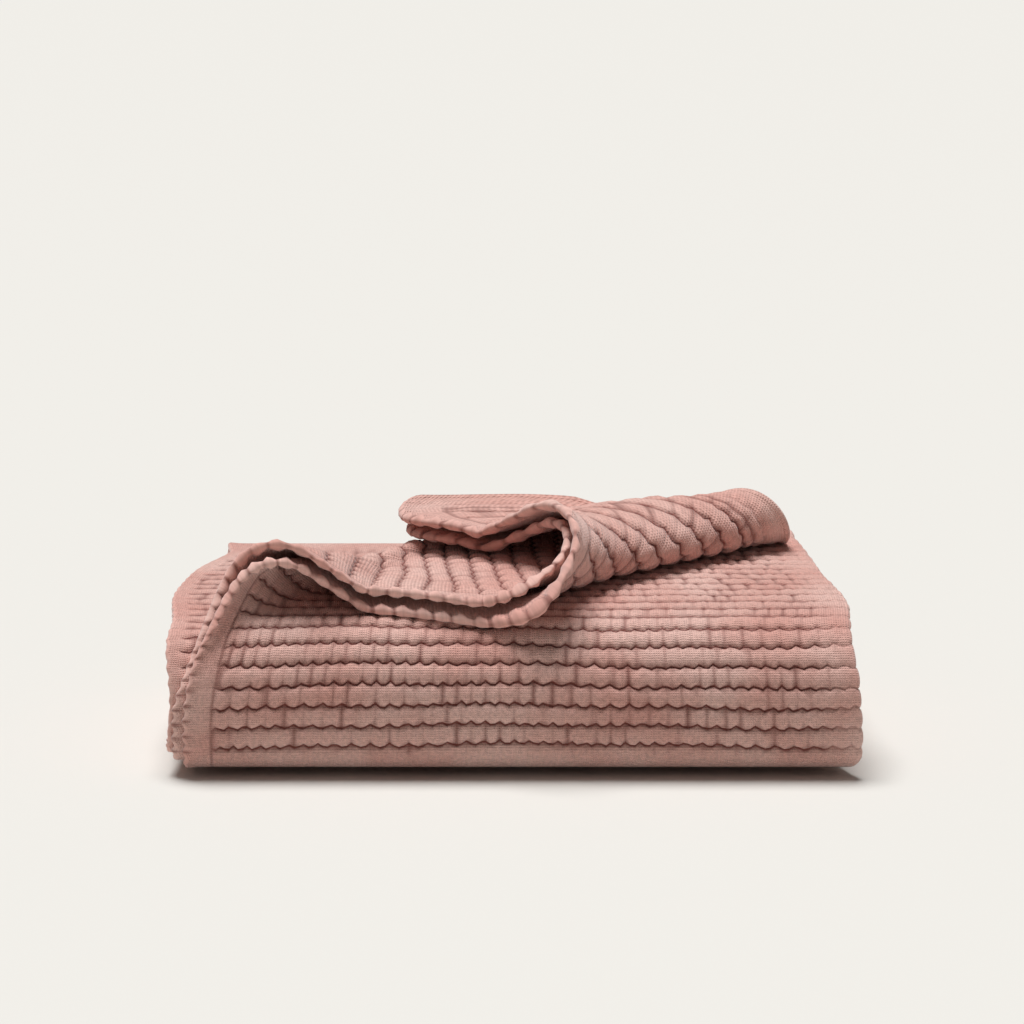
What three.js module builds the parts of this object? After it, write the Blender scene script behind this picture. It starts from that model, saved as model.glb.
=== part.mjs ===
// A folded muslin coverlet: one cloth, doubled over at its right end, laid back and forth, and wrapped
// twice around its own layers. On top its loose end is turned over twice, along two soft slanting folds.
import * as THREE from 'three';

// Driving sizes in millimetres
const WIDTH = 425; // from the hems at the left end to the doubled end at the right
const CLOTH = 3; // thickness of one crinkled cloth
const PLY = 5; // from the middle of one cloth to the middle of its doubled other
const RIB = 12.6; // pitch of the woven ribs
const RIB_RELIEF = 0.8; // how far a rib stands proud
const LAYERS = 6; // doubled layers laid back and forth inside both wraps
const PITCH = 9.7; // from one doubled layer to the next
const INNER_REACH = 5; // how far the inner wrap's hems stand out past those of the outer one on the front
const BACK_RISE = 0.1; // the layers inside stand this much taller at the back
const TURN_STEPS = 4; // chords in each half turn, at a hem end and between two layers

// The outer wrap's section, from the floor at the back round the front and over the top to the back.
// Each row is one stretch: its length, the degrees it turns, and the rows of points along it. The points of
// a row lie close together from the left hems as far as fineTo, and then in the coarse count of spaces.
const PLAIN = { fineTo: 56, fineStep: 28, coarse: 3 };
const RIBBED = { fineTo: 56, fineStep: 14, coarse: 6 };
const FOLDED = { fineTo: 266, fineStep: 13.3, coarse: 3 };
const WRAP = [
  { name: 'floor', length: 237, turn: 0, rows: 2, spacing: PLAIN },
  { name: 'toe', length: 21, turn: 80, rows: 4, spacing: PLAIN },
  { name: 'front', length: 28, turn: 12, rows: 4, spacing: RIBBED },
  { name: 'upperFront', length: 38, turn: 40, rows: 6, spacing: RIBBED },
  { name: 'shoulder', length: 24, turn: 38, rows: 4, spacing: FOLDED },
  { name: 'crown', length: 44, turn: 7, rows: 4, spacing: FOLDED },
  { name: 'top', length: 165, turn: 3, rows: 13, spacing: FOLDED },
  { name: 'backEdge', length: 38, turn: 82, rows: 4, spacing: FOLDED },
  { name: 'back', length: 68, turn: 6, rows: 6, spacing: FOLDED },
];
const LAYER_SPACING = { fineTo: 0, fineStep: WIDTH, coarse: 4 };

// Rows of points of the inner wrap, from the back of the top to the back of the floor, as runs from the
// front's top edge
const INNER_WRAP_RUNS = [190, 150, 110, 70, 35, 5, -12, -24, -43, -62, -76, -90, -97, -104, -111, -230, -348];

// The two soft folds across the loose end. The first starts on the left hems, and the second on the hems
// where they run along the front. The radius shrinks along each, from its open mouth to its pressed end.
const FIRST_FOLD = { start: -42, radius: 28, shrink: 0.13, least: 8, fall: 34, rest: 10 };
const SECOND_FOLD = { x: 198, y: 20, angle: 39, radius: 24, shrink: 0.12, least: 14.5, fall: 36, rest: 10 };
const TIP_SWING = 64; // degrees that the loose corner swings round to the left
const BIAS_STRETCH = 60; // how far the loose end gives along its slanting folds
const TIP_CURL = 2; // how far the loose corner lifts
const HEM_SPREAD = 3.2; // how far each cloth of the pair parts from the other at the hems
const HEM_LEAD = 4; // how far one hem runs past the other on top
const HEM_LAG = -5; // and how far it stays behind the other below
const HEM_FADE = 22; // how far in from the hems the two cloths part

const DEG = Math.PI / 180;
const HALF = PLY / 2;
const SKIN = CLOTH / 2;
const REST_HEIGHT = HALF + SKIN;

// 0 up to one value, 1 from the other, and an even rise or fall between them
function smooth(from, to, value) {
  if (to > from) return THREE.MathUtils.smoothstep(value, from, to);
  return 1 - THREE.MathUtils.smoothstep(value, to, from);
}

// A section path: positions and headings along a chain of straight stretches and arcs
class SectionPath {
  constructor(start, heading, stretches) {
    this.pieces = [];
    let at = start.clone();
    let angle = heading;
    let run = 0;
    for (const { length, turn } of stretches) {
      this.pieces.push({ at, angle, run, length, bend: (turn * DEG) / length });
      at = SectionPath.along(this.pieces.at(-1), length).at;
      angle -= turn * DEG;
      run += length;
    }
    this.length = run;
  }

  static along({ at, angle, bend }, distance) {
    const heading = angle - bend * distance;
    if (Math.abs(bend) < 1e-9) {
      const step = new THREE.Vector2(Math.cos(angle), Math.sin(angle)).multiplyScalar(distance);
      return { at: at.clone().add(step), heading };
    }
    const dy = (Math.sin(angle) - Math.sin(heading)) / bend;
    const dz = (Math.cos(heading) - Math.cos(angle)) / bend;
    return { at: new THREE.Vector2(at.x + dy, at.y + dz), heading };
  }

  // The point at a distance along the path, moved out from it by the height given
  point(distance, height) {
    const piece = this.pieces.findLast((p) => p.run <= distance) ?? this.pieces[0];
    const { at, heading } = SectionPath.along(piece, distance - piece.run);
    return new THREE.Vector2(at.x - Math.sin(heading) * height, at.y + Math.cos(heading) * height);
  }
}

const floorStart = new THREE.Vector2(WRAP[0].length, REST_HEIGHT);
const wrap = new SectionPath(floorStart, Math.PI, WRAP);
const runTo = (name) => WRAP.slice(0, WRAP.findIndex((row) => row.name === name))
  .reduce((sum, row) => sum + row.length, 0);
const FRONT_TOP = runTo('crown'); // the wrap's run is measured from here for the two soft folds
const END_RUN = wrap.length - FRONT_TOP;

// A soft fold's section: a bend past the half turn, a fall, and a bend back to lie level at its rest height.
// It gives how far out and up a point goes, and how far the cloth has turned over there.
function softFold(distance, { radius, fall, rest }) {
  const over = fall * DEG;
  const bend = Math.PI + over;
  const easing = radius * 1.2;
  const drop = radius * (1 + Math.cos(over)) - easing * (1 - Math.cos(over)) - rest;
  const slope = Math.max(0, drop / Math.sin(over));
  if (distance <= radius * bend) {
    const turn = Math.max(0, distance) / radius;
    return { out: radius * Math.sin(turn), up: radius * (1 - Math.cos(turn)), turn };
  }
  const fallen = Math.min(distance - radius * bend, slope);
  const out = -radius * Math.sin(over) - fallen * Math.cos(over);
  const up = radius * (1 + Math.cos(over)) - fallen * Math.sin(over);
  const eased = Math.min(distance - radius * bend - fallen, easing * over);
  const turn = bend - eased / easing;
  const level = distance - radius * bend - fallen - eased;
  return {
    out: out - easing * (Math.sin(over) - Math.sin(over - eased / easing)) - level,
    up: up - easing * (Math.cos(over - eased / easing) - Math.cos(over)),
    turn,
  };
}

// A soft fold's sizes at a distance along it, as its radius shrinks
function foldAt(fold, along) {
  return { ...fold, radius: Math.max(fold.least, fold.radius - fold.shrink * along) };
}

// Height of the first fold's upper cloth at a place on top, for what lies over it
function supportHeight(x, y) {
  const out = (y - FIRST_FOLD.start - x) * Math.SQRT1_2;
  const fold = foldAt(FIRST_FOLD, (x + y) * Math.SQRT1_2);
  const crest = 2 * fold.radius - fold.rest;
  return crest * smooth(-3.2 * fold.radius, -0.6 * fold.radius, out);
}

// A point of the loose end, from its place on the flat cloth to its place over the top of the wrap. Where it
// is turned over, the two cloths part upwards only.
function foldedTop(across, run, offset, parting) {
  const slant = Math.SQRT1_2;
  const past = (run - FIRST_FOLD.start - across) * slant;
  if (past <= 0) return { x: across, y: run, height: offset };
  const along = (run - FIRST_FOLD.start + across) * slant;
  const first = softFold(past, foldAt(FIRST_FOLD, along));
  const settled = offset - parting * smooth(0.6, 2.2, first.turn);
  const reach = first.out - settled * Math.sin(first.turn);
  const eased = (7 * smooth(20, 110, along) + 17 * smooth(140, 230, along)) * smooth(0, 50, past);
  const x = (along - reach) * slant;
  const y = (along + reach) * slant + FIRST_FOLD.start + eased;
  const height = first.up + settled * Math.cos(first.turn);

  const angle = SECOND_FOLD.angle * DEG;
  const beyond = (x - SECOND_FOLD.x) * Math.sin(angle) - (y - SECOND_FOLD.y) * Math.cos(angle);
  if (beyond <= 0) return { x, y, height };
  const follow = (x - SECOND_FOLD.x) * Math.cos(angle) + (y - SECOND_FOLD.y) * Math.sin(angle);
  const second = softFold(beyond, foldAt(SECOND_FOLD, Math.max(0, follow)));
  const lift = height - FIRST_FOLD.rest - 2 * parting * smooth(0.6, 2.2, second.turn);
  const back = second.out - lift * Math.sin(second.turn);
  const topX = SECOND_FOLD.x + back * Math.sin(angle) + follow * Math.cos(angle);
  const topY = SECOND_FOLD.y - back * Math.cos(angle) + follow * Math.sin(angle);
  const swing = TIP_SWING * DEG * smooth(10, 120, beyond) * (1 - smooth(90, 220, follow));
  const pivot = new THREE.Vector2(SECOND_FOLD.x, SECOND_FOLD.y);
  const swung = new THREE.Vector2(topX, topY).rotateAround(pivot, swing);
  const support = supportHeight(swung.x, swung.y) * smooth(60, 110, beyond);
  const tip = TIP_CURL * smooth(110, 170, beyond) * (1 - smooth(40, 150, follow));
  const rolled = FIRST_FOLD.rest + second.up + lift * Math.cos(second.turn);
  return { x: swung.x, y: swung.y, height: rolled + support + tip };
}

// The left hems lean in as they climb the front, and the doubled end is a little uneven
function sideShift(across, run) {
  const lean = 24 * smooth(-75, 15, run) * Math.exp(-across / 70);
  const waver = 1.4 * Math.sin(run / 19) - 5 * smooth(-50, 0, run);
  const taper = -26 * smooth(-10, 210, run) - 9 * smooth(-95, -125, run);
  return lean + (waver + taper) * smooth(0.3 * WIDTH, WIDTH, across);
}

// Ribs run across the cloth, and stand proud on the front, between the floor and the fold on top
function ribHeight(run, across) {
  const wander = 1.5 * Math.sin(across / 41) + Math.sin(across / 17 + 2);
  const crest = Math.cos((2 * Math.PI * (run + wander)) / RIB);
  const shown = smooth(-102, -90, run) * (1 - smooth(-24, -6, run)) * smooth(4, 24, across);
  return RIB_RELIEF * crest * shown;
}

// A point of the wrap, from its place on the flat cloth and its offset from the middle of the pair
function wrapPoint(across, distance, offset) {
  const past = distance - FRONT_TOP;
  const bias = smooth(0, END_RUN * 1.4, past) * (1 - smooth(0.35 * WIDTH, WIDTH, across));
  const run = past + BIAS_STRETCH * bias;
  const parting = HEM_SPREAD * Math.exp(-Math.max(0, across) / HEM_FADE) * smooth(-70, -10, run);
  const parted = offset + Math.sign(offset) * parting;
  const ribbed = offset > HALF ? parted + ribHeight(run, across) : parted;
  const top = foldedTop(across, run, ribbed, parting);
  const section = wrap.point(Math.max(0, top.y + FRONT_TOP), top.height);
  return new THREE.Vector3(top.x - WIDTH / 2 + sideShift(across, run), section.x, section.y);
}

// Where the outer wrap's front lies at a height, so that the layers stop short of it
function frontReach(height) {
  let distance = runTo('toe');
  while (distance < FRONT_TOP + 90 && wrap.point(distance, 0).y < height) distance += 1;
  return wrap.point(distance, 0).x;
}

// Stations of the layers, lowest first, each with its fold to the layer above it
function layerStations() {
  const stations = [];
  const radius = PITCH / 2;
  const backStop = WRAP[0].length - 10;
  for (let layer = 2; layer <= LAYERS + 1; layer += 1) {
    const toBack = layer % 2 === 1;
    const z = REST_HEIGHT + layer * PITCH;
    const angle = toBack ? 0 : Math.PI;
    const front = frontReach(z + 10) + REST_HEIGHT * 2 + PITCH + radius + 5;
    const turnAt = toBack ? backStop - 4 * Math.sin(layer * 1.7) : front;
    if (layer === 2) stations.push({ y: backStop - 12, z, angle });
    stations.push({ y: (backStop + front) / 2, z, angle });
    const side = toBack ? 1 : -1;
    for (let step = 0; step <= TURN_STEPS; step += 1) {
      const swing = (Math.PI * step) / TURN_STEPS;
      stations.push({
        y: turnAt + side * radius * Math.sin(swing),
        z: z + radius - radius * Math.cos(swing),
        angle: angle + side * swing,
      });
    }
  }
  return stations;
}

// A point of the layers, which end a little unevenly, out of sight behind the inner wrap's hems
function layerPoint(across, station, index, offset) {
  const y = station.y - Math.sin(station.angle) * offset;
  const z = station.z + Math.cos(station.angle) * offset;
  const rise = 1 + BACK_RISE * smooth(20, 200, y);
  const share = across / WIDTH;
  const hemShift = Math.sin(index * 0.9) - 4 + 27 * smooth(120, 225, y) * smooth(40, 85, station.z);
  const endShift = -14 - 20 * smooth(50, 90, station.z);
  const shift = hemShift * (1 - share) + endShift * share;
  return new THREE.Vector3(across - WIDTH / 2 + shift, y, z * rise);
}

// A point of the inner wrap, which goes forward on top, down the front and back along the floor, one layer
// inside the outer wrap. Its hems stand out past the outer wrap's on the front, and lie further in on top.
function innerWrapPoint(across, distance, offset) {
  const run = distance - FRONT_TOP;
  const section = wrap.point(distance, -PITCH - offset);
  const reach = INNER_REACH * smooth(-FRONT_TOP, -105, run);
  const hemShift = 36 * smooth(80, 230, run) + 1.2 * Math.sin(run / 13) - reach;
  const endShift = -12 * smooth(-FRONT_TOP, -105, run) - 16 * smooth(-20, 150, run);
  const share = across / WIDTH;
  const shift = sideShift(across, -FRONT_TOP) + hemShift * (1 - share) + endShift * share;
  return new THREE.Vector3(across - WIDTH / 2 + shift, section.x, section.y);
}

// The fold at the back of the floor, from the inner wrap down to the outer one
function floorFoldPoint(across, swing, offset) {
  const radius = PITCH / 2 + offset;
  const x = across - WIDTH / 2 + sideShift(across, -FRONT_TOP);
  const y = WRAP[0].length + radius * Math.sin(swing);
  return new THREE.Vector3(x, y, REST_HEIGHT + PITCH / 2 + radius * Math.cos(swing));
}

// Where the points of a row lie across the cloth, from the hems to the doubled end
function columns({ fineTo, fineStep, coarse }) {
  const places = [];
  for (let across = 0; across < fineTo; across += fineStep) places.push(across);
  for (let i = 0; i <= coarse; i += 1) places.push(fineTo + ((WIDTH - fineTo) * i) / coarse);
  return places;
}

// One ring of points round the doubled cloth at a station. lead moves one hem past the other.
function ring(places, lead, place) {
  const outer = [];
  const inner = [];
  const hemLead = (across) => lead * Math.exp(-across / HEM_FADE);
  for (const across of places) {
    outer.push({ key: across, point: place(across - hemLead(across), HALF + SKIN) });
    inner.push({ key: across, point: place(across - hemLead(across), HALF - SKIN) });
  }
  for (let step = 1; step < TURN_STEPS; step += 1) {
    const swing = (Math.PI * step) / TURN_STEPS;
    const key = WIDTH + step;
    for (const [side, radius] of [[outer, HALF + SKIN], [inner, HALF - SKIN]]) {
      side.push({ key, point: place(WIDTH + radius * Math.sin(swing), radius * Math.cos(swing)) });
    }
  }
  for (const across of [...places].reverse()) {
    const key = 2 * WIDTH + TURN_STEPS - across;
    const under = across + hemLead(across) * 0.4;
    outer.push({ key, point: place(under, -HALF - SKIN) });
    inner.push({ key, point: place(under, SKIN - HALF) });
  }
  const last = 2 * WIDTH + TURN_STEPS;
  const back = inner.reverse().map(({ key, point }) => ({ key: 2 * last + 1 - key, point }));
  return { points: [...outer, ...back], span: 2 * last + 2 };
}

// Every ring of the cloth, from the end inside the layers to the loose end on top
function clothRings() {
  const rings = [];
  const layerColumns = columns(LAYER_SPACING);
  layerStations().forEach((station, index) => {
    rings.push(ring(layerColumns, 0, (across, offset) => layerPoint(across, station, index, offset)));
  });
  for (const run of INNER_WRAP_RUNS) {
    const at = FRONT_TOP + run;
    rings.push(ring(layerColumns, 0, (across, offset) => innerWrapPoint(across, at, offset)));
  }
  for (let step = 1; step < TURN_STEPS; step += 1) {
    const swing = (Math.PI * step) / TURN_STEPS;
    rings.push(ring(layerColumns, 0, (across, offset) => floorFoldPoint(across, swing, offset)));
  }
  const wrapRing = (spacing, at) => {
    const lead = THREE.MathUtils.lerp(HEM_LAG, HEM_LEAD, smooth(-70, 20, at - FRONT_TOP));
    rings.push(ring(columns(spacing), lead, (across, offset) => wrapPoint(across, at, offset)));
  };
  let distance = 0;
  for (const { length, rows, spacing } of WRAP) {
    for (let row = 0; row < rows; row += 1) wrapRing(spacing, distance + (length * row) / rows);
    distance += length;
  }
  wrapRing(FOLDED, wrap.length);
  return rings;
}

// Joins one ring to the next with triangles, also where their counts of points differ
function zip(first, second, triangles) {
  const a = first.points;
  const b = second.points;
  let i = 0;
  let j = 0;
  while (i < a.length || j < b.length) {
    const nextA = i < a.length ? (a[i + 1]?.key ?? first.span) : Infinity;
    const nextB = j < b.length ? (b[j + 1]?.key ?? second.span) : Infinity;
    const from = a[i % a.length];
    const over = b[j % b.length];
    const face = Math.floor(from.key / (WIDTH + 1)) % 2;
    const stepB = nextB < nextA - 1e-6 || (Math.abs(nextB - nextA) < 1e-6 && face === 0);
    if (stepB) {
      triangles.push([from.index, b[(j + 1) % b.length].index, over.index]);
      j += 1;
    } else {
      triangles.push([from.index, a[(i + 1) % a.length].index, over.index]);
      i += 1;
    }
  }
}

// Closes an end of the cloth: a strip from its outer points to the inner ones behind them
function closeEnd({ points }, outward, triangles) {
  const count = points.length / 2;
  for (let i = 0; i < count - 1; i += 1) {
    const [a, b] = [points[i].index, points[i + 1].index];
    const [c, d] = [points[points.length - 2 - i].index, points[points.length - 1 - i].index];
    triangles.push(outward ? [a, c, b] : [a, b, c], outward ? [a, d, c] : [a, c, d]);
  }
}

function clothGeometry() {
  const rings = clothRings();
  const positions = [];
  for (const { points } of rings) {
    for (const entry of points) {
      entry.index = positions.length / 3;
      positions.push(entry.point.x, entry.point.y, entry.point.z);
    }
  }
  const triangles = [];
  for (let i = 0; i + 1 < rings.length; i += 1) zip(rings[i], rings[i + 1], triangles);
  closeEnd(rings[0], true, triangles);
  closeEnd(rings.at(-1), false, triangles);
  const geometry = new THREE.BufferGeometry();
  geometry.setAttribute('position', new THREE.Float32BufferAttribute(positions, 3));
  geometry.setIndex(triangles.flat());
  geometry.computeVertexNormals();
  return geometry;
}

// The origin lies under the middle of the whole, on the surface that it rests on
function centred(geometry) {
  geometry.computeBoundingBox();
  const middle = geometry.boundingBox.getCenter(new THREE.Vector3());
  return geometry.translate(-middle.x, -middle.y, -geometry.boundingBox.min.z);
}

const muslin = new THREE.MeshStandardMaterial({ color: 0xc08a80, roughness: 0.92, metalness: 0 });
const coverlet = new THREE.Mesh(centred(clothGeometry()), muslin);
coverlet.name = 'coverlet';

const group = new THREE.Group();
group.add(coverlet);

export default group;
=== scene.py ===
import math

import bpy
import numpy as np
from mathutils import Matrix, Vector


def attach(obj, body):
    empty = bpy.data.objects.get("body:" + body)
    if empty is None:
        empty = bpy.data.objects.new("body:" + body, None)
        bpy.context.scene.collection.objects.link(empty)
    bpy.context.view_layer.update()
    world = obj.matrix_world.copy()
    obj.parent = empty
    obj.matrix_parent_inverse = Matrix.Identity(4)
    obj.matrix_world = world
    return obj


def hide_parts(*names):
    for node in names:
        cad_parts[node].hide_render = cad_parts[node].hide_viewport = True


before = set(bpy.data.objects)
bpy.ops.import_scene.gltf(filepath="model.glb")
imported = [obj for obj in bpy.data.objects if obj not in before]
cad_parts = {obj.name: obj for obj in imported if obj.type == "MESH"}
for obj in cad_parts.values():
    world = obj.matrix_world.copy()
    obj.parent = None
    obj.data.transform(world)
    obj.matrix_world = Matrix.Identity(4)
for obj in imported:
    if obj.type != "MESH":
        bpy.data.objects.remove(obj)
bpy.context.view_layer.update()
mm = 0.001


def hexColour(code):
    values = [int(code[i:i + 2], 16) / 255 for i in (1, 3, 5)]
    linear = [v / 12.92 if v <= 0.04045 else ((v + 0.055) / 1.055) ** 2.4 for v in values]
    return (*linear, 1.0)


def addNode(tree, kind, settings=None, links=None):
    node = tree.nodes.new(kind)
    for name, value in (settings or {}).items():
        if name in node.inputs:
            node.inputs[name].default_value = value
        else:
            setattr(node, name, value)
    for name, source in (links or {}).items():
        tree.links.new(source, node.inputs[name])
    return node


# camera, floor and light, in metres and degrees
studio = {
    "distance": 4.0,          # a long lens from well back, as the photo's flat perspective shows
    "elevation": 12.0,
    "pixelSize": 0.63 * mm,   # at the bundle's front
    "pixels": 1024,
    "sensor": 36.0,
    "farClip": 100,
    "frontLine": -0.146,      # where the front meets the floor
    "above": 0.169,           # the middle of the picture lies this far above that line
    "aside": -0.0013,
    "floorReach": 30,
    "floorColour": "#d9d7d2",
    "skyColour": "#f4f1ec",
    "skyStrength": 0.17,
    "keyPower": 3.6,
    "keyAngle": 34.0,         # the width of the softbox, seen from the bundle
    "keyTurn": (-7.0, -6.0, 0.0),
}


def setCamera():
    tilt = math.radians(studio["elevation"])
    up = Vector((0, math.sin(tilt), math.cos(tilt)))
    forward = Vector((0, math.cos(tilt), -math.sin(tilt)))
    aim = Vector((studio["aside"], studio["frontLine"], 0)) + up * studio["above"]
    data = bpy.data.cameras.new("camera")
    data.sensor_width = studio["sensor"]
    data.lens = studio["sensor"] * studio["distance"] / (studio["pixelSize"] * studio["pixels"])
    data.clip_end = studio["farClip"]
    camera = bpy.data.objects.new("camera", data)
    camera.location = aim - forward * studio["distance"]
    camera.rotation_mode = "QUATERNION"
    camera.rotation_quaternion = forward.to_track_quat("-Z", "Y")
    bpy.context.scene.collection.objects.link(camera)
    bpy.context.scene.camera = camera


def setFloor():
    # a seamless paper roll: dead matt, so it shows the soft shadow and no reflection
    paper = bpy.data.materials.new("matt studio paper")
    paper.use_nodes = True
    surface = paper.node_tree.nodes["Principled BSDF"]
    surface.inputs["Base Color"].default_value = hexColour(studio["floorColour"])
    surface.inputs["Roughness"].default_value = 0.9
    reach = studio["floorReach"]
    mesh = bpy.data.meshes.new("floor")
    mesh.from_pydata([(-reach, -reach, 0), (reach, -reach, 0), (reach, reach, 0), (-reach, reach, 0)],
                     [], [(0, 1, 2, 3)])
    mesh.materials.append(paper)
    floor = bpy.data.objects.new("floor", mesh)
    bpy.context.scene.collection.objects.link(floor)


def setLight():
    # one large softbox overhead and a little behind, with a weak even fill
    bpy.context.scene.view_settings.view_transform = "Standard"
    world = bpy.data.worlds.new("studio")
    world.use_nodes = True
    sky = world.node_tree.nodes["Background"]
    sky.inputs["Color"].default_value = hexColour(studio["skyColour"])
    sky.inputs["Strength"].default_value = studio["skyStrength"]
    bpy.context.scene.world = world
    data = bpy.data.lights.new("softbox", "SUN")
    data.energy = studio["keyPower"]
    data.angle = math.radians(studio["keyAngle"])
    key = bpy.data.objects.new("softbox", data)
    key.rotation_euler = [math.radians(a) for a in studio["keyTurn"]]
    bpy.context.scene.collection.objects.link(key)


setCamera()
setFloor()
setLight()
print("camera, floor and light are set")

# the coverlet, with lengths in mm and angles in degrees
# The flat cloth is doubled over at its right end. A place on it is given by how far across it lies from
# the hems, its run from the front's top edge, and its offset from the middle of the doubled cloth.
# A pair of numbers named From or Along is where a change starts and where it is complete.
coverlet = {
    "width": 425.0,           # of the doubled cloth, from the hems to the bent end
    "cloth": 3.0,
    "ply": 5.0,               # from the middle of one side of the doubled cloth to the other's
    # each stretch of the outer wrap's section, from the back of the floor: its length and its turn
    "wrap": [(237, 0), (21, 80), (28, 12), (38, 40), (24, 38), (44, 7), (165, 3), (38, 82), (68, 6)],
    "toTop": 5,               # the stretches up to the front's top edge
    "stack": {                # the layers laid back and forth inside both wraps
        "layers": 6, "pitch": 9.7, "inset": 10, "firstInset": 12, "backWaver": 4, "frontGap": 5,
        "backRise": 0.1, "riseFrom": (20, 200), "hemRoll": 0.35,
        "waver": 1.6, "waverLength": 34, "hemsOut": 4, "hemsDrawn": 27, "drawnFrom": (120, 225),
        "drawnAbove": (40, 85), "endShort": 14, "endDrawn": 20, "endAbove": (50, 90),
    },
    "inner": {                # the inner wrap, one layer inside the outer one
        "top": 190, "reach": 5.0, "ribDepth": 2.1, "hemRoll": 0.45, "knobLength": 11.5, "knobRoll": 0.4,
        "knobOut": 0.9, "hemsDrawn": 36, "drawnFrom": (80, 230), "waver": 1.2, "waverLength": 13,
        "endIn": 12, "endDrawn": 16, "endFrom": (-20, 150), "floorTo": -105,
    },
    "firstFold": {"start": -42, "radius": 28, "shrink": 0.13, "least": 8, "fall": 34, "rest": 10},
    "secondFold": {"x": 198, "y": 20, "angle": 39,
                   "radius": 24, "shrink": 0.12, "least": 14.5, "fall": 36, "rest": 10},
    "foldEasing": 1.2,        # how gently fallen cloth levels out, in radii
    "restFrom": (-3.2, -0.6),     # how the turned cloth below rises to its fold, in radii from the fold
    "setBack": {              # how far the turned hems draw back at the arch and at the roll
        "arch": 7, "archAlong": (20, 110), "roll": 17, "rollAlong": (140, 230), "past": (0, 50),
    },
    "tip": {                  # the loose corner, which swings to the left and lies on the turned cloth
        "swing": 64, "swingFrom": (10, 120), "swingAlong": (90, 220), "liftFrom": (60, 110),
        "curl": 2, "curlFrom": (110, 170), "curlAlong": (40, 150),
    },
    "bias": {"stretch": 60, "reach": 1.4, "startShare": 0.35},    # the pull of the folds along the hems
    "sides": {                # how the ends of the outer wrap leave a straight line
        "lean": 24, "leanFrom": (-75, 15), "leanFade": 70, "waver": 1.4, "waverLength": 19,
        "tuck": 5, "tuckFrom": (-50, 0), "taper": 26, "taperFrom": (-10, 210),
        "floorTaper": 9, "floorFrom": (-95, -125), "startShare": 0.3,
    },
    "hems": {
        "width": 5.0, "roll": 0.95, "lowRoll": 0.4, "rollFrom": (-70, -10), "leastEdge": 0.25,
        "parting": 3.2, "partingFrom": (-70, -10), "partingTurn": (0.6, 2.2), "fade": 22,
        "lead": 4, "lag": -5, "leadFrom": (-70, 20), "lagShare": 0.4,
        "knobLength": 8.8, "knobDrift": 0.3, "driftLength": 23, "knobRoll": 0.9, "knobOut": 1.5,
        "knobFade": 8, "knobsFrom": (-108, -96), "secondPhase": 2,
        # painted shade darkens the colour in the hem creases and along the stitch line
        "creaseShade": 0.75, "creaseFrom": (0.1, 1), "creaseFade": 6.5,
        "band": 19.0, "bandEdge": (-1, 4), "bandRibs": 0.22, "endBandRibs": 0.6,
        "stitch": 1.6, "stitchDepth": 1.5, "stitchShade": 0.8,
    },
    "ribs": {
        "length": 12.6,           # from valley to valley
        "depth": 3.0, "middle": 0.78, "first": -8, "shownFrom": (-103, -90), "hemFrom": (3, 8),
        "softEnd": 30, "endLess": 0.45,       # they flatten towards the bent end
        "puff": 10.0,             # length of one puff along a rib
        "puffDrift": 0.7, "driftLength": 37,
        # how far a valley leaves its straight line, as shares of a rib
        "scallop": 0.24, "scallopMiddle": 0.6, "wander": 0.12, "wanderLength": 61,
        "waver": 0.05, "waverLength": 19,
        # a puffed rib's section, the seams between its puffs, and how unequal they are
        "pillow": (2.3, 0.55), "pinch": (0.3, 0.35), "pinchPower": 5, "swell": (0.85, 0.3),
        "freeFrom": (6, 16), "innerFrom": (3, 10),
    },
    "grid": {                 # where the points of the cloth lie
        "columnStep": 3.0, "hemColumns": (0, 1.2, 2.6, 4.2, 6.2), "inwardColumns": (0, 2.6, 6.2),
        "foldColumns": (14, 330, 21), "afterFold": 375,       # first, last and how many
        "layerColumns": (14, 28, 60, 120, 220, 330), "leftColumns": 36, "leftTo": 120,
        "rightColumns": (160, 220, 330, 395),
        "ribRows": (0, 0.09, 0.28, 0.5, 0.72, 0.91), "innerRibRows": (0, 0.12, 0.5, 0.88),
        "floorRows": 8, "floorShort": 17, "turnStep": 2.1, "innerFloorRows": 12, "innerFloorFrom": -104,
        "stackRows": 9, "turns": 9, "tips": 6, "edgeRows": 4,
    },
}
ribLength = coverlet["ribs"]["length"]
half = coverlet["ply"] / 2
skin = coverlet["cloth"] / 2
restHeight = half + skin
flatWidth = 2 * coverlet["width"] + math.pi * half


def smooth(start, end, value):
    share = np.clip((value - start) / (end - start), 0, 1)
    return share * share * (3 - 2 * share)


def alongPiece(y, z, angle, bend, distance):
    # the place and heading at a distance along a stretch of steady bend
    heading = angle - bend * distance
    curved = np.abs(bend) > 1e-9
    divide = np.where(curved, bend, 1.0)
    dy = np.where(curved, (np.sin(angle) - np.sin(heading)) / divide, np.cos(angle) * distance)
    dz = np.where(curved, (np.cos(heading) - np.cos(angle)) / divide, np.sin(angle) * distance)
    return y + dy, z + dz, heading


def layPath():
    # the outer wrap's section as its stretches, and its whole length
    pieces = []
    at, angle, run = np.array([coverlet["wrap"][0][0], restHeight], float), math.pi, 0.0
    for length, turn in coverlet["wrap"]:
        bend = math.radians(turn) / length
        pieces.append((run, at[0], at[1], angle, bend))
        at = np.array(alongPiece(at[0], at[1], angle, bend, length)[:2])
        angle -= math.radians(turn)
        run += length
    return np.array(pieces), run


wrapPieces, wrapLength = layPath()
frontTop = sum(length for length, turn in coverlet["wrap"][:coverlet["toTop"]])
endRun = wrapLength - frontTop


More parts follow.
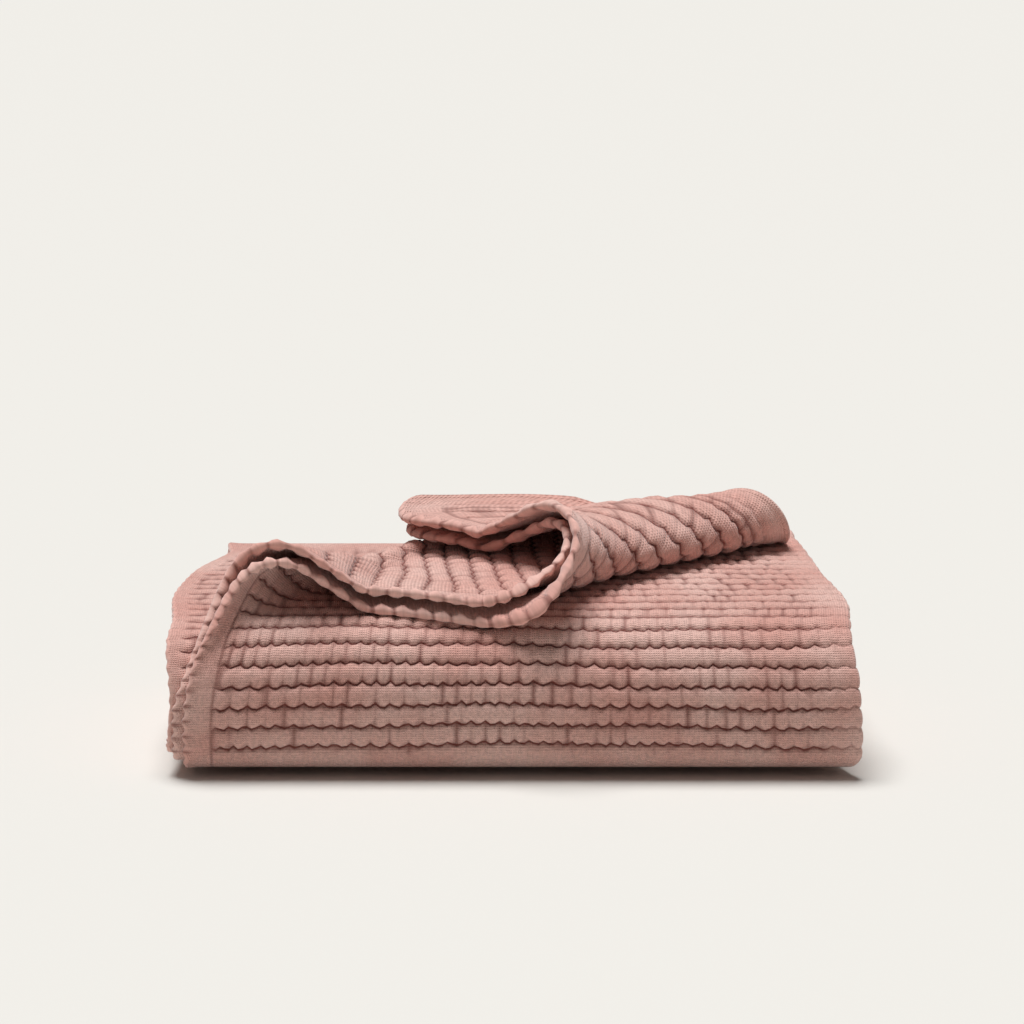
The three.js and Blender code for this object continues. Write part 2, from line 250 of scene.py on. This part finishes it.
def sectionPoint(distance, height):
    # the place in the section at this distance along the outer wrap and this height off it
    index = np.clip(np.searchsorted(wrapPieces[:, 0], distance, side="right") - 1, 0, len(wrapPieces) - 1)
    run, y, z, angle, bend = (wrapPieces[index, i] for i in range(5))
    py, pz, heading = alongPiece(y, z, angle, bend, distance - run)
    return py - np.sin(heading) * height, pz + np.cos(heading) * height


def softFold(distance, radius, fall, rest):
    # cloth rolls over a soft bend, falls behind it and levels out: how far out, how far up, its turn
    over = math.radians(fall)
    bend = math.pi + over
    easing = radius * coverlet["foldEasing"]
    drop = radius * (1 + math.cos(over)) - easing * (1 - math.cos(over)) - rest
    slope = np.maximum(0, drop / math.sin(over))
    turning = distance <= radius * bend
    early = np.maximum(0, distance) / radius
    fallen = np.minimum(distance - radius * bend, slope)
    out = -radius * math.sin(over) - fallen * math.cos(over)
    up = radius * (1 + math.cos(over)) - fallen * math.sin(over)
    eased = np.minimum(distance - radius * bend - fallen, easing * over)
    turn = bend - eased / easing
    level = distance - radius * bend - fallen - eased
    out = out - easing * (math.sin(over) - np.sin(over - eased / easing)) - level
    up = up - easing * (np.cos(over - eased / easing) - math.cos(over))
    return (np.where(turning, radius * np.sin(early), out),
            np.where(turning, radius * (1 - np.cos(early)), up),
            np.where(turning, early, turn))


def foldRadius(fold, along):
    # a slanting fold is widest at its mouth
    return np.maximum(fold["least"], fold["radius"] - fold["shrink"] * along)


def supportHeight(x, y):
    # the height of the turned cloth that the loose corner lies on
    fold = coverlet["firstFold"]
    out = (y - fold["start"] - x) * math.sqrt(0.5)
    radius = foldRadius(fold, (x + y) * math.sqrt(0.5))
    return (2 * radius - fold["rest"]) * smooth(*coverlet["restFrom"], out / radius)


def foldedTop(across, run, offset, parting):
    # turns the loose end over along the first slanting fold and then along the second
    first, second, tip = coverlet["firstFold"], coverlet["secondFold"], coverlet["tip"]
    partingTurn = coverlet["hems"]["partingTurn"]
    slant = math.sqrt(0.5)
    past = (run - first["start"] - across) * slant
    along = (run - first["start"] + across) * slant
    out, up, turn = softFold(past, foldRadius(first, along), first["fall"], first["rest"])
    settled = offset - parting * smooth(*partingTurn, turn)
    reach = out - settled * np.sin(turn)
    back = coverlet["setBack"]
    atArch, atRoll = smooth(*back["archAlong"], along), smooth(*back["rollAlong"], along)
    drawn = (back["arch"] * atArch + back["roll"] * atRoll) * smooth(*back["past"], past)
    folded = past > 0
    x = np.where(folded, (along - reach) * slant, across)
    y = np.where(folded, (along + reach) * slant + first["start"] + drawn, run)
    height = np.where(folded, up + settled * np.cos(turn), offset)

    angle = math.radians(second["angle"])
    beyond = (x - second["x"]) * math.sin(angle) - (y - second["y"]) * math.cos(angle)
    follow = (x - second["x"]) * math.cos(angle) + (y - second["y"]) * math.sin(angle)
    radius = foldRadius(second, np.maximum(0, follow))
    out, up, turn = softFold(beyond, radius, second["fall"], second["rest"])
    lift = height - first["rest"] - 2 * parting * smooth(*partingTurn, turn)
    reach = out - lift * np.sin(turn)
    topX = reach * math.sin(angle) + follow * math.cos(angle)
    topY = -reach * math.cos(angle) + follow * math.sin(angle)
    swing = math.radians(tip["swing"]) * smooth(*tip["swingFrom"], beyond)
    swing = swing * (1 - smooth(*tip["swingAlong"], follow))
    swungX = second["x"] + topX * np.cos(swing) - topY * np.sin(swing)
    swungY = second["y"] + topX * np.sin(swing) + topY * np.cos(swing)
    curl = tip["curl"] * smooth(*tip["curlFrom"], beyond) * (1 - smooth(*tip["curlAlong"], follow))
    rolled = first["rest"] + up + lift * np.cos(turn)
    rolled = rolled + supportHeight(swungX, swungY) * smooth(*tip["liftFrom"], beyond) + curl
    again = folded & (beyond > 0)
    return np.where(again, swungX, x), np.where(again, swungY, y), np.where(again, rolled, height)


def sideShift(across, run):
    # how far a place leaves the straight stack, to the left or right
    sides, width = coverlet["sides"], coverlet["width"]
    lean = sides["lean"] * smooth(*sides["leanFrom"], run) * np.exp(-across / sides["leanFade"])
    waver = sides["waver"] * np.sin(run / sides["waverLength"])
    waver = waver - sides["tuck"] * smooth(*sides["tuckFrom"], run)
    taper = -sides["taper"] * smooth(*sides["taperFrom"], run)
    taper = taper - sides["floorTaper"] * smooth(*sides["floorFrom"], run)
    return lean + (waver + taper) * smooth(sides["startShare"] * width, width, across)


def wrapPoint(across, distance, offset, ply):
    # where a place on the flat cloth lies once it is wrapped and folded
    width, hems, pull = coverlet["width"], coverlet["hems"], coverlet["bias"]
    past = distance - frontTop
    bias = smooth(0, endRun * pull["reach"], past) * (1 - smooth(pull["startShare"] * width, width, across))
    run = past + pull["stretch"] * bias
    parting = hems["parting"] * np.exp(-np.maximum(0, across) / hems["fade"])
    parting = parting * smooth(*hems["partingFrom"], run)
    x, y, height = foldedTop(across, run, offset + ply * parting, parting)
    py, pz = sectionPoint(np.maximum(0, y + frontTop), height)
    return x - width / 2 + sideShift(across, run), py, pz


def scatter(index, seed):
    # a fixed share from 0 to 1 for each number, which looks random
    return np.mod(np.sin(index * 12.9898 + seed * 4.137) * 43758.5453, 1.0)


def puffPlace(index, along):
    # how many puffs along its rib a place lies
    ribs = coverlet["ribs"]
    drift = ribs["puffDrift"] * np.sin(along / ribs["driftLength"] + index)
    return along / ribs["puff"] + drift + scatter(index, 1) * 7


def valleyAt(index, along):
    # where the woven valley below a rib runs: a slow wander, with the puffs' scallops along it
    ribs = coverlet["ribs"]
    scallops = np.abs(np.sin(np.pi * puffPlace(index, along)))
    wander = ribs["wander"] * np.sin(along / ribs["wanderLength"] + 0.3 * index)
    waver = ribs["waver"] * np.sin(along / ribs["waverLength"] + 2 + scatter(index, 2) * 3)
    return index + (wander + waver) - ribs["scallop"] * (scallops - ribs["scallopMiddle"])


def puffiness(run, along):
    # how far the cloth is puffed up, from 0 in the valleys to about 1
    ribs = coverlet["ribs"]
    place = run / ribLength
    index = np.floor(place)
    index = index - (place < valleyAt(index, along))
    index = index + (place >= valleyAt(index + 1, along))
    low, high = valleyAt(index, along), valleyAt(index + 1, along)
    share = np.clip((place - low) / np.maximum(high - low, 0.2), 0, 1)
    fullness, softness = ribs["pillow"]
    pillow = np.clip(1 - np.abs(2 * share - 1) ** fullness, 0, 1) ** softness
    puffs = puffPlace(index + 1, along)
    least, more = ribs["pinch"]
    pinch = np.abs(np.cos(np.pi * puffs)) ** ribs["pinchPower"]
    pinch = pinch * (least + more * scatter(np.floor(puffs) + 31 * index, 3))
    least, more = ribs["swell"]
    swell = least + more * scatter(np.floor(puffs + 0.5) * 1.7 + 17 * index, 4)
    return pillow * (swell - pinch)


def followRibs(run, along):
    # moves a straight row of points with the scallops of the valleys on either side of it
    place = run / ribLength
    index = math.floor(place + 1e-6)
    low, high = valleyAt(index, along), valleyAt(index + 1, along)
    return (low + (high - low) * (place - index)) * ribLength


def buildColumns(upper, lower, inward):
    # one closed ring round the doubled cloth: base across, turn round the doubled end, side and overhang
    width, grid = coverlet["width"], coverlet["grid"]
    turns = np.linspace(0, math.pi, grid["turns"])[1:-1]
    tips = np.linspace(-math.pi / 2, math.pi / 2, grid["tips"])[1:-1]
    columns = [(a, 0, 1, 0) for a in upper]
    columns += [(width, t, 1, 0) for t in turns]
    columns += [(a, math.pi, 1, 0) for a in lower[::-1]]
    columns += [(0, math.pi, -math.sin(t), math.cos(t)) for t in tips]
    columns += [(a, math.pi, -1, 0) for a in inward]
    columns += [(width, t, -1, 0) for t in turns[::-1]]
    columns += [(a, 0, -1, 0) for a in inward[::-1]]
    columns += [(0, 0, math.sin(t), math.cos(t)) for t in tips]
    return np.array(columns)


def wrapColumns():
    width, grid = coverlet["width"], coverlet["grid"]
    *near, last = grid["hemColumns"]
    fine = [*near, *np.linspace(last, width, round((width - last) / grid["columnStep"]))]
    inward = [*grid["inwardColumns"], *np.linspace(*grid["foldColumns"]), grid["afterFold"], width]
    return buildColumns(fine, fine, inward)


def layerColumns():
    # the layers inside show only their ends, so their middles need few points
    width, grid = coverlet["width"], coverlet["grid"]
    *near, last = grid["hemColumns"]
    upper = [*near, last, *grid["layerColumns"], grid["rightColumns"][-1], width]
    left = np.linspace(last, grid["leftTo"], grid["leftColumns"])
    lower = [*near, *left, *grid["rightColumns"], width]
    return buildColumns(upper, lower, [*grid["inwardColumns"], *grid["layerColumns"], width])


def wrapRows():
    # even rows under the bundle, and beyond it a row in each valley and five over each rib
    grid, first = coverlet["grid"], coverlet["ribs"]["first"]
    floorLength = coverlet["wrap"][0][0]
    floorRows = np.linspace(0, floorLength - grid["floorShort"], grid["floorRows"])
    turnRows = np.arange(floorLength, frontTop + first * ribLength - 0.7, grid["turnStep"])
    ribRows = np.arange(first, round(endRun / ribLength))[:, None] + np.array(grid["ribRows"])
    return np.concatenate([floorRows, turnRows, frontTop + ribRows.ravel() * ribLength])


def ringPlaces(columns, thick, raised, lead):
    # the across and offset of every point of a ring
    hems = coverlet["hems"]
    base, turn, side, overhang = columns.T
    radius = half + side * thick + np.where(side > 0.99, raised, 0)
    lean = np.where(turn < math.pi / 2, -1.0, hems["lagShare"]) * lead * np.exp(-base / hems["fade"])
    across = base + radius * np.sin(turn) * (np.abs(np.sin(turn)) > 1e-6) - overhang * thick + lean
    return across, radius * np.cos(turn)


def clothPlace(columns):
    # how far along the cloth each column lies, from one hem round the doubled end to the other
    base, turn = columns[:, 0], columns[:, 1]
    return np.where(turn > 3.1, flatWidth - base, base + half * turn)


def buildWrap(columns):
    # the outer wrap's points, how far along the cloth each lies, and how much painted shade darkens it there
    hems, ribs, width = coverlet["hems"], coverlet["ribs"], coverlet["width"]
    rows = wrapRows()
    beyond = skin * (1 + hems["roll"])
    tips = np.linspace(0, math.pi / 2, coverlet["grid"]["edgeRows"] + 1)[1:]
    distances = np.concatenate([rows, [wrapLength], wrapLength + beyond * np.sin(tips)])
    rounding = np.concatenate([np.ones(len(rows) + 1), np.maximum(np.cos(tips), hems["leastEdge"])])
    place = clothPlace(columns)
    fromHem = np.minimum(place, flatWidth - place)
    ply = np.sign(np.round(np.cos(columns[:, 1]), 3))
    points, shadeMarks, laid = [], [], []
    for distance, edge in zip(distances, rounding):
        run = distance - frontTop
        shownRibs = smooth(*ribs["shownFrom"], run)
        fromEnd = np.maximum(wrapLength - distance, 0)
        nearest = np.minimum(fromHem, fromEnd)
        knobs = run / hems["knobLength"] + hems["knobDrift"] * np.sin(run / hems["driftLength"])
        knobs = np.sin(2 * math.pi * knobs + (place > width) * hems["secondPhase"])
        knobs = knobs * smooth(*hems["knobsFrom"], run)
        moved = run + (followRibs(run, place) - run) * (shownRibs * smooth(*ribs["freeFrom"], nearest))
        roll = hems["roll"] * (hems["lowRoll"] + (1 - hems["lowRoll"]) * smooth(*hems["rollFrom"], run))
        rolled = 1 + roll * np.exp(-(nearest / hems["width"]) ** 2) * (1 + hems["knobRoll"] * knobs)
        plain = np.where(fromEnd < fromHem, hems["endBandRibs"], hems["bandRibs"])
        band = plain + (1 - plain) * smooth(*hems["bandEdge"], nearest - hems["band"])
        shown = band * shownRibs * smooth(*ribs["hemFrom"], nearest)
        shown = shown * (1 - ribs["endLess"] * smooth(width - ribs["softEnd"], width, fromHem))
        puff = puffiness(moved, place)
        stitch = np.exp(-((nearest - hems["band"]) / hems["stitch"]) ** 2)
        raised = ribs["depth"] * (puff - ribs["middle"]) * shown - hems["stitchDepth"] * stitch * shownRibs
        lead = hems["lag"] + (hems["lead"] - hems["lag"]) * smooth(*hems["leadFrom"], run)
        across, offset = ringPlaces(columns, skin * rolled * edge, raised, lead)
        across = across + hems["knobOut"] * knobs * np.exp(-fromHem / hems["knobFade"])
        points.append(np.stack(wrapPoint(across, frontTop + moved, offset, ply), axis=1))
        laid.append(frontTop + moved)
        # painted shade: the colour is darkened in the hem creases, and on the outward face also in the rib
        # valleys and along the stitch line
        paintedCreaseShade = hems["creaseShade"] * smooth(*hems["creaseFrom"], -knobs)
        paintedCreaseShade = paintedCreaseShade * np.exp(-(fromHem / hems["creaseFade"]) ** 2)
        paintedShade = np.maximum(np.maximum((1 - puff) * shown, hems["stitchShade"] * stitch), paintedCreaseShade)
        shadeMarks.append(np.where(columns[:, 2] > 0.99, 1 - paintedShade, 1 - paintedCreaseShade))
    return np.array(points), np.array(laid), np.array(shadeMarks)


def frontReach(height):
    # where the outer wrap's front stands at a height, which the layers inside stay behind
    distances = np.arange(coverlet["wrap"][0][0], frontTop + 90, 1.0)
    y, z = sectionPoint(distances, 0 * distances)
    index = int(np.argmax(z >= height)) if (z >= height).any() else len(z) - 1
    return y[index]


def layerStations():
    # the section of the layers inside both wraps: y, height, heading and layer, from the lowest up
    stack = coverlet["stack"]
    pitch, shares = stack["pitch"], np.linspace(0, 1, coverlet["grid"]["stackRows"])
    backStop = coverlet["wrap"][0][0] - stack["inset"]
    stations, last = [], backStop - stack["firstInset"]
    for layer in range(2, stack["layers"] + 2):
        toBack = layer % 2 == 1
        height = restHeight + layer * pitch
        front = frontReach(height + stack["inset"]) + restHeight * 2 + pitch * 1.5 + stack["frontGap"]
        turnAt = backStop - stack["backWaver"] * math.sin(layer * 1.7) if toBack else front
        heading, side = (0, 1) if toBack else (math.pi, -1)
        for share in shares[:-1]:
            stations.append((last + (turnAt - last) * share, height, heading, layer))
        for share in shares:
            swing = math.pi * share
            y, z = turnAt + side * pitch / 2 * math.sin(swing), height + pitch / 2 * (1 - math.cos(swing))
            stations.append((y, z, heading + side * swing, layer + share))
        last = turnAt
    return np.array(stations)


def layerRing(across, offset, station):
    stack, width = coverlet["stack"], coverlet["width"]
    y, z, heading, layer = station
    py, pz = y - math.sin(heading) * offset, z + math.cos(heading) * offset
    rise = 1 + stack["backRise"] * smooth(*stack["riseFrom"], py)
    share = across / width
    hemShift = stack["waver"] * np.sin(py / stack["waverLength"] + layer * 1.9) - stack["hemsOut"]
    drawn = smooth(*stack["drawnFrom"], py) * smooth(*stack["drawnAbove"], z)
    hemShift = hemShift + stack["hemsDrawn"] * drawn
    endShift = stack["endShort"] + stack["endDrawn"] * smooth(*stack["endAbove"], z)
    shift = hemShift * (1 - share) - endShift * share
    return np.stack([across - width / 2 + shift, py, pz * rise], axis=1)


def innerWrapRing(columns, run):
    # forward on top, down the front and back along the floor, one layer inside the outer wrap
    inner, hems, ribs, width = coverlet["inner"], coverlet["hems"], coverlet["ribs"], coverlet["width"]
    place = clothPlace(columns)
    nearest = np.minimum(place, flatWidth - place)
    knobs = math.sin(2 * math.pi * run / inner["knobLength"]) * smooth(*hems["knobsFrom"], run)
    rolled = inner["hemRoll"] * np.exp(-(nearest / hems["width"]) ** 2) * (1 + inner["knobRoll"] * knobs)
    free = smooth(*ribs["shownFrom"], run) * smooth(*ribs["innerFrom"], nearest)
    shown = free * (columns[:, 2] > 0.99)
    moved = run + (followRibs(run, place) - run) * free
    puff = puffiness(moved, place)
    raised = inner["ribDepth"] * (puff - ribs["middle"]) * shown
    across, offset = ringPlaces(columns, skin * (1 + rolled), raised, 0)
    across = across + inner["knobOut"] * knobs * np.exp(-nearest / hems["knobFade"])
    y, z = sectionPoint(frontTop + moved, -coverlet["stack"]["pitch"] - offset)
    onFloor = smooth(-frontTop, inner["floorTo"], run)
    hemShift = inner["hemsDrawn"] * smooth(*inner["drawnFrom"], run) - inner["reach"] * onFloor
    hemShift = hemShift + inner["waver"] * math.sin(run / inner["waverLength"])
    endShift = inner["endIn"] * onFloor + inner["endDrawn"] * smooth(*inner["endFrom"], run)
    share = across / width
    shift = sideShift(across, -frontTop) + hemShift * (1 - share) - endShift * share
    # painted shade darkens the rib valleys of the outward face
    return np.stack([across - width / 2 + shift, y, z], axis=1), 1 - (1 - puff) * shown


def floorFoldRing(across, offset, swing):
    # the fold at the back of the floor, from the inner wrap down to the outer one
    pitch = coverlet["stack"]["pitch"]
    radius = pitch / 2 + offset
    x = across - coverlet["width"] / 2 + sideShift(across, -frontTop)
    y = coverlet["wrap"][0][0] + radius * math.sin(swing)
    return np.stack([x, y, restHeight + pitch / 2 + radius * math.cos(swing)], axis=1)


def buildInside(columns):
    # all of the cloth before the outer wrap, its painted shade, and how far along the flat cloth each ring
    # lies
    grid, first = coverlet["grid"], coverlet["ribs"]["first"]
    near = 1 + coverlet["stack"]["hemRoll"] * np.exp(-(columns[:, 0] / coverlet["hems"]["width"]) ** 2)
    across, offset = ringPlaces(columns, skin * near, 0, 0)
    rings = [layerRing(across, offset, station) for station in layerStations()]
    hidden = np.full(len(columns), 0.9)
    shadeMarks = [hidden] * len(rings)
    ribRows = np.arange(first, round(coverlet["inner"]["top"] / ribLength))[:, None] + grid["innerRibRows"]
    floorRuns = np.linspace(grid["innerFloorFrom"], -frontTop, grid["innerFloorRows"])
    runs = np.concatenate([ribRows.ravel()[::-1] * ribLength, floorRuns])
    for run in runs:
        ring, shadeMark = innerWrapRing(columns, run)
        rings.append(ring)
        shadeMarks.append(shadeMark)
    for swing in np.linspace(0, math.pi, grid["turns"])[1:-1]:
        rings.append(floorFoldRing(across, offset, swing))
        shadeMarks.append(hidden)
    rings, shadeMarks = np.array(rings), np.array(shadeMarks)
    middle = rings[:, len(columns) // 2]
    steps = np.linalg.norm(np.diff(middle, axis=0), axis=1)
    return rings, shadeMarks, -np.concatenate([np.cumsum(steps[::-1])[::-1], [0]])


def ringKeys(columns):
    # how far round its ring each column lies, alike for rings with different counts
    place = clothPlace(columns)
    keys = np.where(columns[:, 2] > 0.99, place, 2 * flatWidth + 20 - place)
    tips = columns[:, 3] > 0
    second = tips & (columns[:, 1] > 3)
    keys[second] = flatWidth + 2 + 4 * np.arange(second.sum())
    first = tips & (columns[:, 1] < 3)
    keys[first] = 2 * flatWidth + 22 + np.arange(first.sum())
    return keys


def gridFaces(rowCount, columnCount, start):
    row = np.arange(rowCount - 1)[:, None] * columnCount
    column = np.arange(columnCount)[None, :]
    after = (column + 1) % columnCount
    a, b = row + column, row + after
    return (np.stack([a, b, b + columnCount, a + columnCount], axis=2).reshape(-1, 4) + start).tolist()


def zipRings(keysA, keysB, startA, startB, span):
    # joins two rings of different counts, always with the nearer next point
    faces, i, j = [], 0, 0
    while i < len(keysA) or j < len(keysB):
        nextA = (keysA[i + 1] if i + 1 < len(keysA) else span) if i < len(keysA) else math.inf
        nextB = (keysB[j + 1] if j + 1 < len(keysB) else span) if j < len(keysB) else math.inf
        a, b = startA + i % len(keysA), startB + j % len(keysB)
        if nextB <= nextA:
            faces.append((a, startB + (j + 1) % len(keysB), b))
            j += 1
        else:
            faces.append((a, startA + (i + 1) % len(keysA), b))
            i += 1
    return faces


def closeRing(columns, start, flip):
    # closes an end of the cloth between its outward and inward faces
    place = clothPlace(columns)
    order = np.argsort(place, kind="stable")
    outward = [i for i in order if columns[i, 2] > 0]
    inward = [i for i in order if columns[i, 2] <= 0]
    faces, i, j = [], 0, 0
    while i + 1 < len(outward) or j + 1 < len(inward):
        stepOut = j + 1 >= len(inward) or (
            i + 1 < len(outward) and place[outward[i + 1]] <= place[inward[j + 1]])
        a, b = outward[i] + start, inward[j] + start
        if stepOut:
            face = (a, outward[i + 1] + start, b)
            i += 1
        else:
            face = (a, inward[j + 1] + start, b)
            j += 1
        faces.append(tuple(int(v) for v in (face[::-1] if flip else face)))
    return faces


def flatPlaces(columns, runs):
    # each point's place on the flat cloth, in metres
    return np.stack(np.broadcast_arrays(clothPlace(columns)[None, :], runs), axis=2).reshape(-1, 2) * mm


def makeCoverlet():
    columns, inner = wrapColumns(), layerColumns()
    wrapPoints, wrapRuns, wrapShade = buildWrap(columns)
    layerPoints, layerShade, layerRuns = buildInside(inner)
    layerCount, innerCount = layerPoints.shape[:2]
    wrapCount, columnCount = wrapPoints.shape[:2]
    start = layerCount * innerCount
    points = np.concatenate([layerPoints.reshape(-1, 3), wrapPoints.reshape(-1, 3)])
    low, high = points.min(0), points.max(0)
    middle = (low + high) / 2
    points = points - np.array([middle[0], middle[1], low[2]])
    faces = gridFaces(layerCount, innerCount, 0) + gridFaces(wrapCount, columnCount, start)
    span = 4 * coverlet["width"] + 200        # past the last of the ring keys
    faces += zipRings(ringKeys(inner), ringKeys(columns), start - innerCount, start, span)
    faces += closeRing(inner, 0, False)
    faces += closeRing(columns, start + (wrapCount - 1) * columnCount, True)
    mesh = bpy.data.meshes.new("coverletCloth")
    mesh.from_pydata((points * mm).tolist(), [], faces)
    mesh.polygons.foreach_set("use_smooth", [True] * len(mesh.polygons))
    flat = np.concatenate([flatPlaces(inner, layerRuns[:, None]), flatPlaces(columns, wrapRuns)])
    corner = np.empty(len(mesh.loops), np.int32)
    mesh.loops.foreach_get("vertex_index", corner)
    mesh.uv_layers.new(name="flatCloth").data.foreach_set("uv", flat[corner].ravel())
    # the puff attribute carries the painted shade of the rib valleys, stitch lines and hem creases
    puff = mesh.attributes.new("puff", "FLOAT", "POINT")
    puff.data.foreach_set("value", np.concatenate([layerShade.ravel(), wrapShade.ravel()]).astype(np.float32))
    mesh.validate()
    return mesh


cloth = bpy.data.objects.new("coverletCloth", makeCoverlet())
bpy.context.scene.collection.objects.link(cloth)
print("the coverlet is folded, with", sum(len(p.vertices) - 2 for p in cloth.data.polygons), "triangles")

# crinkled cotton muslin, garment-dyed and washed
# It is dead matt, with a soft bloom at grazing angles and an open weave, and its dye varies in soft clouds
# over the cloth. Its colour is darkened with painted shade down in the valleys, along the stitch lines and in
# the hem creases.
muslin = {
    "crest": "#e3b9ae",
    "cloud": "#d69f93",
    # painted shade, mixed in down the valleys, along the stitch lines and in the hem creases
    "valleyShade": "#7c4239",
    "cloudSize": 60.0,            # mm
    "cloudSpread": (0.36, 0.64),
    "valleyShadeSpread": (0.1, 0.7),
    "roughness": 0.92,
    "specular": 0.25,
    "sheen": 0.35,
    "sheenRoughness": 0.5,
    "thread": 1.5,                # real threads are about 0.5 mm apart, drawn coarse so that they show
    "threadWaver": 1.2,
    "weaveDepth": 0.6,
    "weaveStrength": 0.8,
    "slubLength": 1.6,            # in threads
    "slubSpread": (0.35, 0.65),
    "slubTint": (0.88, 1.08),
    "crinkle": 4.0,
    "crinkleDepth": 0.9,
    "crinkleStrength": 0.6,
}


def makeMuslin():
    material = bpy.data.materials.new("crinkled cotton muslin")
    material.use_nodes = True
    tree = material.node_tree
    surface = tree.nodes["Principled BSDF"]
    surface.inputs["Roughness"].default_value = muslin["roughness"]
    surface.inputs["Specular IOR Level"].default_value = muslin["specular"]
    surface.inputs["Sheen Weight"].default_value = muslin["sheen"]
    surface.inputs["Sheen Roughness"].default_value = muslin["sheenRoughness"]
    flat = addNode(tree, "ShaderNodeUVMap", {"uv_map": "flatCloth"}).outputs["UV"]

    # the dye, with painted shade mixed in
    clouds = addNode(tree, "ShaderNodeTexNoise", {"Scale": 1000 / muslin["cloudSize"], "Detail": 3.0},
                     {"Vector": flat})
    low, high = muslin["cloudSpread"]
    drift = addNode(tree, "ShaderNodeMapRange", {"From Min": low, "From Max": high},
                    {"Value": clouds.outputs["Fac"]})
    worn = addNode(tree, "ShaderNodeMix", {"data_type": "RGBA"}, {"Factor": drift.outputs["Result"]})
    worn.inputs[6].default_value = hexColour(muslin["cloud"])
    worn.inputs[7].default_value = hexColour(muslin["crest"])
    # painted shade: where the puff attribute falls, in the valleys, stitch lines and hem creases, the colour
    # is mixed towards the dark valley shade
    puff = addNode(tree, "ShaderNodeAttribute", {"attribute_name": "puff"})
    low, high = muslin["valleyShadeSpread"]
    depth = addNode(tree, "ShaderNodeMapRange", {"From Min": low, "From Max": high},
                    {"Value": puff.outputs["Fac"]})
    dyedAndShaded = addNode(tree, "ShaderNodeMix", {"data_type": "RGBA"}, {"Factor": depth.outputs["Result"]})
    dyedAndShaded.inputs[6].default_value = hexColour(muslin["valleyShade"])
    tree.links.new(worn.outputs[2], dyedAndShaded.inputs[7])
    slubScale = 1000 / muslin["thread"] / muslin["slubLength"]
    slubs = addNode(tree, "ShaderNodeTexNoise", {"Scale": slubScale, "Detail": 2.0}, {"Vector": flat})
    low, high = muslin["slubSpread"]
    darker, lighter = muslin["slubTint"]
    speck = addNode(tree, "ShaderNodeMapRange",
                    {"From Min": low, "From Max": high, "To Min": darker, "To Max": lighter},
                    {"Value": slubs.outputs["Fac"]})
    tint = addNode(tree, "ShaderNodeHueSaturation", None,
                   {"Color": dyedAndShaded.outputs[2], "Value": speck.outputs["Result"]})
    tree.links.new(tint.outputs["Color"], surface.inputs["Base Color"])

    # the weave and the crinkle; a wave texture of scale 1 repeats every tau / 20 of a metre
    waveScale = math.tau / 20 / (muslin["thread"] * mm)
    warp, weft = (addNode(tree, "ShaderNodeTexWave",
                          {"Scale": waveScale, "Distortion": muslin["threadWaver"], "bands_direction": axis},
                          {"Vector": flat}) for axis in "XY")
    weave = addNode(tree, "ShaderNodeMath", {"operation": "MULTIPLY"})
    tree.links.new(warp.outputs["Fac"], weave.inputs[0])
    tree.links.new(weft.outputs["Fac"], weave.inputs[1])
    crinkle = addNode(tree, "ShaderNodeTexNoise", {"Scale": 1000 / muslin["crinkle"], "Detail": 2.0},
                      {"Vector": flat})
    soft = addNode(tree, "ShaderNodeBump",
                   {"Strength": muslin["crinkleStrength"], "Distance": muslin["crinkleDepth"] * mm},
                   {"Height": crinkle.outputs["Fac"]})
    threads = addNode(tree, "ShaderNodeBump",
                      {"Strength": muslin["weaveStrength"], "Distance": muslin["weaveDepth"] * mm},
                      {"Height": weave.outputs["Value"], "Normal": soft.outputs["Normal"]})
    tree.links.new(threads.outputs["Normal"], surface.inputs["Normal"])
    return material


cloth.data.materials.append(makeMuslin())
print("the muslin is made")

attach(cloth, "root")
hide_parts("coverlet")
